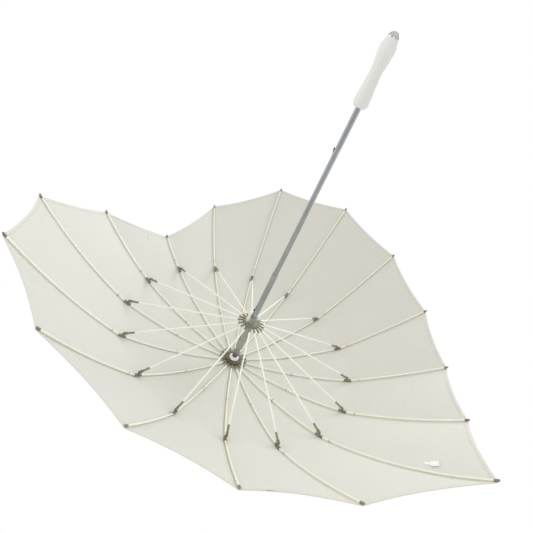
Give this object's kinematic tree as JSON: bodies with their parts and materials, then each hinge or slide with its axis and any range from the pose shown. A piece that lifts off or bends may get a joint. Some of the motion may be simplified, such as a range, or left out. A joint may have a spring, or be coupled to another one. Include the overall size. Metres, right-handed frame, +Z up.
{
  "type": "parasol",
  "caption": "Heart-shaped cloth parasol with a round metal shaft, waisted grip, jointed ribs and stretchers, and a sliding runner that folds it.",
  "frame": {"origin": "middle of the hand grip, on the shaft's axis", "axes": "+Z up the shaft to the crown and ferrule, +X to the heart's point, +Y across the two lobes"},
  "size_m": [0.8961, 0.932, 0.785],
  "materials": {
    "shaft_chrome": "polished",
    "grip_white": "glossy",
    "cap_chrome": "polished",
    "crown_bronze": "dark plated",
    "collar_white": "satin",
    "ferrule_chrome": "polished",
    "runner_grey": "satin",
    "tab_cream": "satin",
    "spring_black": "blued",
    "canopy_cloth": "plain weave",
    "rib_fibreglass": "satin",
    "stretcher_fibreglass": "satin"
  },
  "bodies": {
    "shaft": {"upper_tube": "shaft_chrome", "lower_tube": "shaft_chrome", "handle_grip": "grip_white", "handle_cap": "cap_chrome", "crown_notch": "crown_bronze", "crown_collar": "collar_white", "ferrule": "ferrule_chrome", "canopy": "canopy_cloth"},
    "rib_01": {"rib_01": "rib_fibreglass"},
    "rib_end_01": {"rib_end_01": "rib_fibreglass"},
    "stretcher_01": {"stretcher_01": "stretcher_fibreglass"},
    "rib_02": {"rib_02": "rib_fibreglass"},
    "rib_end_02": {"rib_end_02": "rib_fibreglass"},
    "stretcher_02": {"stretcher_02": "stretcher_fibreglass"},
    "rib_03": {"rib_03": "rib_fibreglass"},
    "rib_end_03": {"rib_end_03": "rib_fibreglass"},
    "stretcher_03": {"stretcher_03": "stretcher_fibreglass"},
    "rib_04": {"rib_04": "rib_fibreglass"},
    "rib_end_04": {"rib_end_04": "rib_fibreglass"},
    "stretcher_04": {"stretcher_04": "stretcher_fibreglass"},
    "rib_05": {"rib_05": "rib_fibreglass"},
    "rib_end_05": {"rib_end_05": "rib_fibreglass"},
    "stretcher_05": {"stretcher_05": "stretcher_fibreglass"},
    "rib_06": {"rib_06": "rib_fibreglass"},
    "rib_end_06": {"rib_end_06": "rib_fibreglass"},
    "stretcher_06": {"stretcher_06": "stretcher_fibreglass"},
    "rib_07": {"rib_07": "rib_fibreglass"},
    "rib_end_07": {"rib_end_07": "rib_fibreglass"},
    "stretcher_07": {"stretcher_07": "stretcher_fibreglass"},
    "rib_08": {"rib_08": "rib_fibreglass"},
    "rib_end_08": {"rib_end_08": "rib_fibreglass"},
    "stretcher_08": {"stretcher_08": "stretcher_fibreglass"},
    "rib_09": {"rib_09": "rib_fibreglass"},
    "rib_end_09": {"rib_end_09": "rib_fibreglass"},
    "stretcher_09": {"stretcher_09": "stretcher_fibreglass"},
    "rib_10": {"rib_10": "rib_fibreglass"},
    "rib_end_10": {"rib_end_10": "rib_fibreglass"},
    "stretcher_10": {"stretcher_10": "stretcher_fibreglass"},
    "rib_11": {"rib_11": "rib_fibreglass"},
    "rib_end_11": {"rib_end_11": "rib_fibreglass"},
    "stretcher_11": {"stretcher_11": "stretcher_fibreglass"},
    "rib_12": {"rib_12": "rib_fibreglass"},
    "rib_end_12": {"rib_end_12": "rib_fibreglass"},
    "stretcher_12": {"stretcher_12": "stretcher_fibreglass"},
    "rib_13": {"rib_13": "rib_fibreglass"},
    "rib_end_13": {"rib_end_13": "rib_fibreglass"},
    "stretcher_13": {"stretcher_13": "stretcher_fibreglass"},
    "rib_14": {"rib_14": "rib_fibreglass"},
    "rib_end_14": {"rib_end_14": "rib_fibreglass"},
    "stretcher_14": {"stretcher_14": "stretcher_fibreglass"},
    "rib_15": {"rib_15": "rib_fibreglass"},
    "rib_end_15": {"rib_end_15": "rib_fibreglass"},
    "stretcher_15": {"stretcher_15": "stretcher_fibreglass"},
    "rib_16": {"rib_16": "rib_fibreglass"},
    "rib_end_16": {"rib_end_16": "rib_fibreglass"},
    "stretcher_16": {"stretcher_16": "stretcher_fibreglass"},
    "runner": {"runner": "runner_grey", "runner_tab": "tab_cream"},
    "top_spring": {"top_spring": "spring_black"},
    "hand_spring": {"hand_spring": "spring_black"}
  },
  "joints": [
    {"name": "fold", "type": "hinge", "parent": "shaft", "child": "rib_01", "pos_m": [0.015, 0, 0.661], "axis": [0, 1, 0], "range_deg": [0, 75], "deforming": ["canopy"]},
    {"name": "rib_bend_01", "type": "hinge", "parent": "rib_01", "child": "rib_end_01", "pos_m": [0.26558, 0, 0.6071], "axis": [0, -1, 0], "range_deg": [-0.5, 26.9]},
    {"name": "stretcher_hinge_01", "type": "hinge", "parent": "rib_01", "child": "stretcher_01", "pos_m": [0.255, 0, 0.605], "axis": [0, -1, 0], "range_deg": [-0.5, 150.5]},
    {"name": "rib_hinge_02", "type": "hinge", "parent": "shaft", "child": "rib_02", "pos_m": [0.01386, 0.00574, 0.661], "axis": [-0.3827, 0.9239, 0], "range_deg": [-0.5, 75.5]},
    {"name": "rib_bend_02", "type": "hinge", "parent": "rib_02", "child": "rib_end_02", "pos_m": [0.24536, 0.10163, 0.6071], "axis": [0.3827, -0.9239, 0], "range_deg": [-0.5, 24.15]},
    {"name": "stretcher_hinge_02", "type": "hinge", "parent": "rib_02", "child": "stretcher_02", "pos_m": [0.23559, 0.09758, 0.605], "axis": [0.3827, -0.9239, 0], "range_deg": [-0.5, 150.5]},
    {"name": "rib_hinge_03", "type": "hinge", "parent": "shaft", "child": "rib_03", "pos_m": [0.01061, 0.01061, 0.661], "axis": [-0.7071, 0.7071, 0], "range_deg": [-0.5, 75.5]},
    {"name": "rib_bend_03", "type": "hinge", "parent": "rib_03", "child": "rib_end_03", "pos_m": [0.18779, 0.18779, 0.6071], "axis": [0.7071, -0.7071, 0], "range_deg": [-0.5, 22.1]},
    {"name": "stretcher_hinge_03", "type": "hinge", "parent": "rib_03", "child": "stretcher_03", "pos_m": [0.18031, 0.18031, 0.605], "axis": [0.7071, -0.7071, 0], "range_deg": [-0.5, 150.5]},
    {"name": "rib_hinge_04", "type": "hinge", "parent": "shaft", "child": "rib_04", "pos_m": [0.00574, 0.01386, 0.661], "axis": [-0.9239, 0.3827, 0], "range_deg": [-0.5, 75.5]},
    {"name": "rib_bend_04", "type": "hinge", "parent": "rib_04", "child": "rib_end_04", "pos_m": [0.10163, 0.24536, 0.6071], "axis": [0.9239, -0.3827, 0], "range_deg": [-0.5, 24.39]},
    {"name": "stretcher_hinge_04", "type": "hinge", "parent": "rib_04", "child": "stretcher_04", "pos_m": [0.09758, 0.23559, 0.605], "axis": [0.9239, -0.3827, 0], "range_deg": [-0.5, 150.5]},
    {"name": "rib_hinge_05", "type": "hinge", "parent": "shaft", "child": "rib_05", "pos_m": [0, 0.015, 0.661], "axis": [-1, 0, 0], "range_deg": [-0.5, 75.5]},
    {"name": "rib_bend_05", "type": "hinge", "parent": "rib_05", "child": "rib_end_05", "pos_m": [0, 0.26558, 0.6071], "axis": [1, 0, 0], "range_deg": [-0.5, 27.25]},
    {"name": "stretcher_hinge_05", "type": "hinge", "parent": "rib_05", "child": "stretcher_05", "pos_m": [0, 0.255, 0.605], "axis": [1, 0, 0], "range_deg": [-0.5, 150.5]},
    {"name": "rib_hinge_06", "type": "hinge", "parent": "shaft", "child": "rib_06", "pos_m": [-0.00574, 0.01386, 0.661], "axis": [-0.9239, -0.3827, 0], "range_deg": [-0.5, 75.5]},
    {"name": "rib_bend_06", "type": "hinge", "parent": "rib_06", "child": "rib_end_06", "pos_m": [-0.10163, 0.24536, 0.6071], "axis": [0.9239, 0.3827, 0], "range_deg": [-0.5, 27.86]},
    {"name": "stretcher_hinge_06", "type": "hinge", "parent": "rib_06", "child": "stretcher_06", "pos_m": [-0.09758, 0.23559, 0.605], "axis": [0.9239, 0.3827, 0], "range_deg": [-0.5, 150.5]},
    {"name": "rib_hinge_07", "type": "hinge", "parent": "shaft", "child": "rib_07", "pos_m": [-0.01061, 0.01061, 0.661], "axis": [-0.7071, -0.7071, 0], "range_deg": [-0.5, 75.5]},
    {"name": "rib_bend_07", "type": "hinge", "parent": "rib_07", "child": "rib_end_07", "pos_m": [-0.18779, 0.18779, 0.6071], "axis": [0.7071, 0.7071, 0], "range_deg": [-0.5, 25.59]},
    {"name": "stretcher_hinge_07", "type": "hinge", "parent": "rib_07", "child": "stretcher_07", "pos_m": [-0.18031, 0.18031, 0.605], "axis": [0.7071, 0.7071, 0], "range_deg": [-0.5, 150.5]},
    {"name": "rib_hinge_08", "type": "hinge", "parent": "shaft", "child": "rib_08", "pos_m": [-0.01386, 0.00574, 0.661], "axis": [-0.3827, -0.9239, 0], "range_deg": [-0.5, 75.5]},
    {"name": "rib_bend_08", "type": "hinge", "parent": "rib_08", "child": "rib_end_08", "pos_m": [-0.24536, 0.10163, 0.6071], "axis": [0.3827, 0.9239, 0], "range_deg": [-0.5, 18.59]},
    {"name": "stretcher_hinge_08", "type": "hinge", "parent": "rib_08", "child": "stretcher_08", "pos_m": [-0.23559, 0.09758, 0.605], "axis": [0.3827, 0.9239, 0], "range_deg": [-0.5, 150.5]},
    {"name": "rib_hinge_09", "type": "hinge", "parent": "shaft", "child": "rib_09", "pos_m": [-0.015, 0, 0.661], "axis": [0, -1, 0], "range_deg": [-0.5, 75.5]},
    {"name": "rib_bend_09", "type": "hinge", "parent": "rib_09", "child": "rib_end_09", "pos_m": [-0.26558, 0, 0.6071], "axis": [0, 1, 0], "range_deg": [-0.5, 13.22]},
    {"name": "stretcher_hinge_09", "type": "hinge", "parent": "rib_09", "child": "stretcher_09", "pos_m": [-0.255, 0, 0.605], "axis": [0, 1, 0], "range_deg": [-0.5, 150.5]},
    {"name": "rib_hinge_10", "type": "hinge", "parent": "shaft", "child": "rib_10", "pos_m": [-0.01386, -0.00574, 0.661], "axis": [0.3827, -0.9239, 0], "range_deg": [-0.5, 75.5]},
    {"name": "rib_bend_10", "type": "hinge", "parent": "rib_10", "child": "rib_end_10", "pos_m": [-0.24536, -0.10163, 0.6071], "axis": [-0.3827, 0.9239, 0], "range_deg": [-0.5, 18.59]},
    {"name": "stretcher_hinge_10", "type": "hinge", "parent": "rib_10", "child": "stretcher_10", "pos_m": [-0.23559, -0.09758, 0.605], "axis": [-0.3827, 0.9239, 0], "range_deg": [-0.5, 150.5]},
    {"name": "rib_hinge_11", "type": "hinge", "parent": "shaft", "child": "rib_11", "pos_m": [-0.01061, -0.01061, 0.661], "axis": [0.7071, -0.7071, 0], "range_deg": [-0.5, 75.5]},
    {"name": "rib_bend_11", "type": "hinge", "parent": "rib_11", "child": "rib_end_11", "pos_m": [-0.18779, -0.18779, 0.6071], "axis": [-0.7071, 0.7071, 0], "range_deg": [-0.5, 25.59]},
    {"name": "stretcher_hinge_11", "type": "hinge", "parent": "rib_11", "child": "stretcher_11", "pos_m": [-0.18031, -0.18031, 0.605], "axis": [-0.7071, 0.7071, 0], "range_deg": [-0.5, 150.5]},
    {"name": "rib_hinge_12", "type": "hinge", "parent": "shaft", "child": "rib_12", "pos_m": [-0.00574, -0.01386, 0.661], "axis": [0.9239, -0.3827, 0], "range_deg": [-0.5, 75.5]},
    {"name": "rib_bend_12", "type": "hinge", "parent": "rib_12", "child": "rib_end_12", "pos_m": [-0.10163, -0.24536, 0.6071], "axis": [-0.9239, 0.3827, 0], "range_deg": [-0.5, 27.86]},
    {"name": "stretcher_hinge_12", "type": "hinge", "parent": "rib_12", "child": "stretcher_12", "pos_m": [-0.09758, -0.23559, 0.605], "axis": [-0.9239, 0.3827, 0], "range_deg": [-0.5, 150.5]},
    {"name": "rib_hinge_13", "type": "hinge", "parent": "shaft", "child": "rib_13", "pos_m": [0, -0.015, 0.661], "axis": [1, 0, 0], "range_deg": [-0.5, 75.5]},
    {"name": "rib_bend_13", "type": "hinge", "parent": "rib_13", "child": "rib_end_13", "pos_m": [0, -0.26558, 0.6071], "axis": [-1, 0, 0], "range_deg": [-0.5, 27.25]},
    {"name": "stretcher_hinge_13", "type": "hinge", "parent": "rib_13", "child": "stretcher_13", "pos_m": [0, -0.255, 0.605], "axis": [-1, 0, 0], "range_deg": [-0.5, 150.5]},
    {"name": "rib_hinge_14", "type": "hinge", "parent": "shaft", "child": "rib_14", "pos_m": [0.00574, -0.01386, 0.661], "axis": [0.9239, 0.3827, 0], "range_deg": [-0.5, 75.5]},
    {"name": "rib_bend_14", "type": "hinge", "parent": "rib_14", "child": "rib_end_14", "pos_m": [0.10163, -0.24536, 0.6071], "axis": [-0.9239, -0.3827, 0], "range_deg": [-0.5, 24.39]},
    {"name": "stretcher_hinge_14", "type": "hinge", "parent": "rib_14", "child": "stretcher_14", "pos_m": [0.09758, -0.23559, 0.605], "axis": [-0.9239, -0.3827, 0], "range_deg": [-0.5, 150.5]},
    {"name": "rib_hinge_15", "type": "hinge", "parent": "shaft", "child": "rib_15", "pos_m": [0.01061, -0.01061, 0.661], "axis": [0.7071, 0.7071, 0], "range_deg": [-0.5, 75.5]},
    {"name": "rib_bend_15", "type": "hinge", "parent": "rib_15", "child": "rib_end_15", "pos_m": [0.18779, -0.18779, 0.6071], "axis": [-0.7071, -0.7071, 0], "range_deg": [-0.5, 22.1]},
    {"name": "stretcher_hinge_15", "type": "hinge", "parent": "rib_15", "child": "stretcher_15", "pos_m": [0.18031, -0.18031, 0.605], "axis": [-0.7071, -0.7071, 0], "range_deg": [-0.5, 150.5]},
    {"name": "rib_hinge_16", "type": "hinge", "parent": "shaft", "child": "rib_16", "pos_m": [0.01386, -0.00574, 0.661], "axis": [0.3827, 0.9239, 0], "range_deg": [-0.5, 75.5]},
    {"name": "rib_bend_16", "type": "hinge", "parent": "rib_16", "child": "rib_end_16", "pos_m": [0.24536, -0.10163, 0.6071], "axis": [-0.3827, -0.9239, 0], "range_deg": [-0.5, 24.15]},
    {"name": "stretcher_hinge_16", "type": "hinge", "parent": "rib_16", "child": "stretcher_16", "pos_m": [0.23559, -0.09758, 0.605], "axis": [-0.3827, -0.9239, 0], "range_deg": [-0.5, 150.5]},
    {"name": "runner_hinge", "type": "hinge", "parent": "stretcher_01", "child": "runner", "pos_m": [0.015, 0, 0.549], "axis": [0, 1, 0], "range_deg": [-0.5, 75.5]},
    {"name": "top_spring_press", "type": "hinge", "parent": "shaft", "child": "top_spring", "pos_m": [-0.00156, 0.00233, 0.485], "axis": [0.8315, 0.5556, 0], "range_deg": [0, 3.6], "stiffness_Nm_per_rad": 0.2},
    {"name": "hand_spring_press", "type": "hinge", "parent": "shaft", "child": "hand_spring", "pos_m": [-0.00196, 0.00039, 0.187], "axis": [-0.1951, -0.9808, 0], "range_deg": [0, 3.4], "stiffness_Nm_per_rad": 0.2}
  ],
  "couplings": [
    {"joint": "rib_bend_01", "follows": "fold", "ratio": 0.35195},
    {"joint": "stretcher_hinge_01", "follows": "fold", "ratio": 2},
    {"joint": "rib_hinge_02", "follows": "fold", "ratio": 1},
    {"joint": "rib_bend_02", "follows": "fold", "ratio": 0.31537},
    {"joint": "stretcher_hinge_02", "follows": "fold", "ratio": 2},
    {"joint": "rib_hinge_03", "follows": "fold", "ratio": 1},
    {"joint": "rib_bend_03", "follows": "fold", "ratio": 0.28806},
    {"joint": "stretcher_hinge_03", "follows": "fold", "ratio": 2},
    {"joint": "rib_hinge_04", "follows": "fold", "ratio": 1},
    {"joint": "rib_bend_04", "follows": "fold", "ratio": 0.31851},
    {"joint": "stretcher_hinge_04", "follows": "fold", "ratio": 2},
    {"joint": "rib_hinge_05", "follows": "fold", "ratio": 1},
    {"joint": "rib_bend_05", "follows": "fold", "ratio": 0.35667},
    {"joint": "stretcher_hinge_05", "follows": "fold", "ratio": 2},
    {"joint": "rib_hinge_06", "follows": "fold", "ratio": 1},
    {"joint": "rib_bend_06", "follows": "fold", "ratio": 0.36484},
    {"joint": "stretcher_hinge_06", "follows": "fold", "ratio": 2},
    {"joint": "rib_hinge_07", "follows": "fold", "ratio": 1},
    {"joint": "rib_bend_07", "follows": "fold", "ratio": 0.33458},
    {"joint": "stretcher_hinge_07", "follows": "fold", "ratio": 2},
    {"joint": "rib_hinge_08", "follows": "fold", "ratio": 1},
    {"joint": "rib_bend_08", "follows": "fold", "ratio": 0.24116},
    {"joint": "stretcher_hinge_08", "follows": "fold", "ratio": 2},
    {"joint": "rib_hinge_09", "follows": "fold", "ratio": 1},
    {"joint": "rib_bend_09", "follows": "fold", "ratio": 0.16956},
    {"joint": "stretcher_hinge_09", "follows": "fold", "ratio": 2},
    {"joint": "rib_hinge_10", "follows": "fold", "ratio": 1},
    {"joint": "rib_bend_10", "follows": "fold", "ratio": 0.24116},
    {"joint": "stretcher_hinge_10", "follows": "fold", "ratio": 2},
    {"joint": "rib_hinge_11", "follows": "fold", "ratio": 1},
    {"joint": "rib_bend_11", "follows": "fold", "ratio": 0.33458},
    {"joint": "stretcher_hinge_11", "follows": "fold", "ratio": 2},
    {"joint": "rib_hinge_12", "follows": "fold", "ratio": 1},
    {"joint": "rib_bend_12", "follows": "fold", "ratio": 0.36484},
    {"joint": "stretcher_hinge_12", "follows": "fold", "ratio": 2},
    {"joint": "rib_hinge_13", "follows": "fold", "ratio": 1},
    {"joint": "rib_bend_13", "follows": "fold", "ratio": 0.35667},
    {"joint": "stretcher_hinge_13", "follows": "fold", "ratio": 2},
    {"joint": "rib_hinge_14", "follows": "fold", "ratio": 1},
    {"joint": "rib_bend_14", "follows": "fold", "ratio": 0.31851},
    {"joint": "stretcher_hinge_14", "follows": "fold", "ratio": 2},
    {"joint": "rib_hinge_15", "follows": "fold", "ratio": 1},
    {"joint": "rib_bend_15", "follows": "fold", "ratio": 0.28806},
    {"joint": "stretcher_hinge_15", "follows": "fold", "ratio": 2},
    {"joint": "rib_hinge_16", "follows": "fold", "ratio": 1},
    {"joint": "rib_bend_16", "follows": "fold", "ratio": 0.31537},
    {"joint": "stretcher_hinge_16", "follows": "fold", "ratio": 2},
    {"joint": "runner_hinge", "follows": "fold", "ratio": 1}
  ]
}
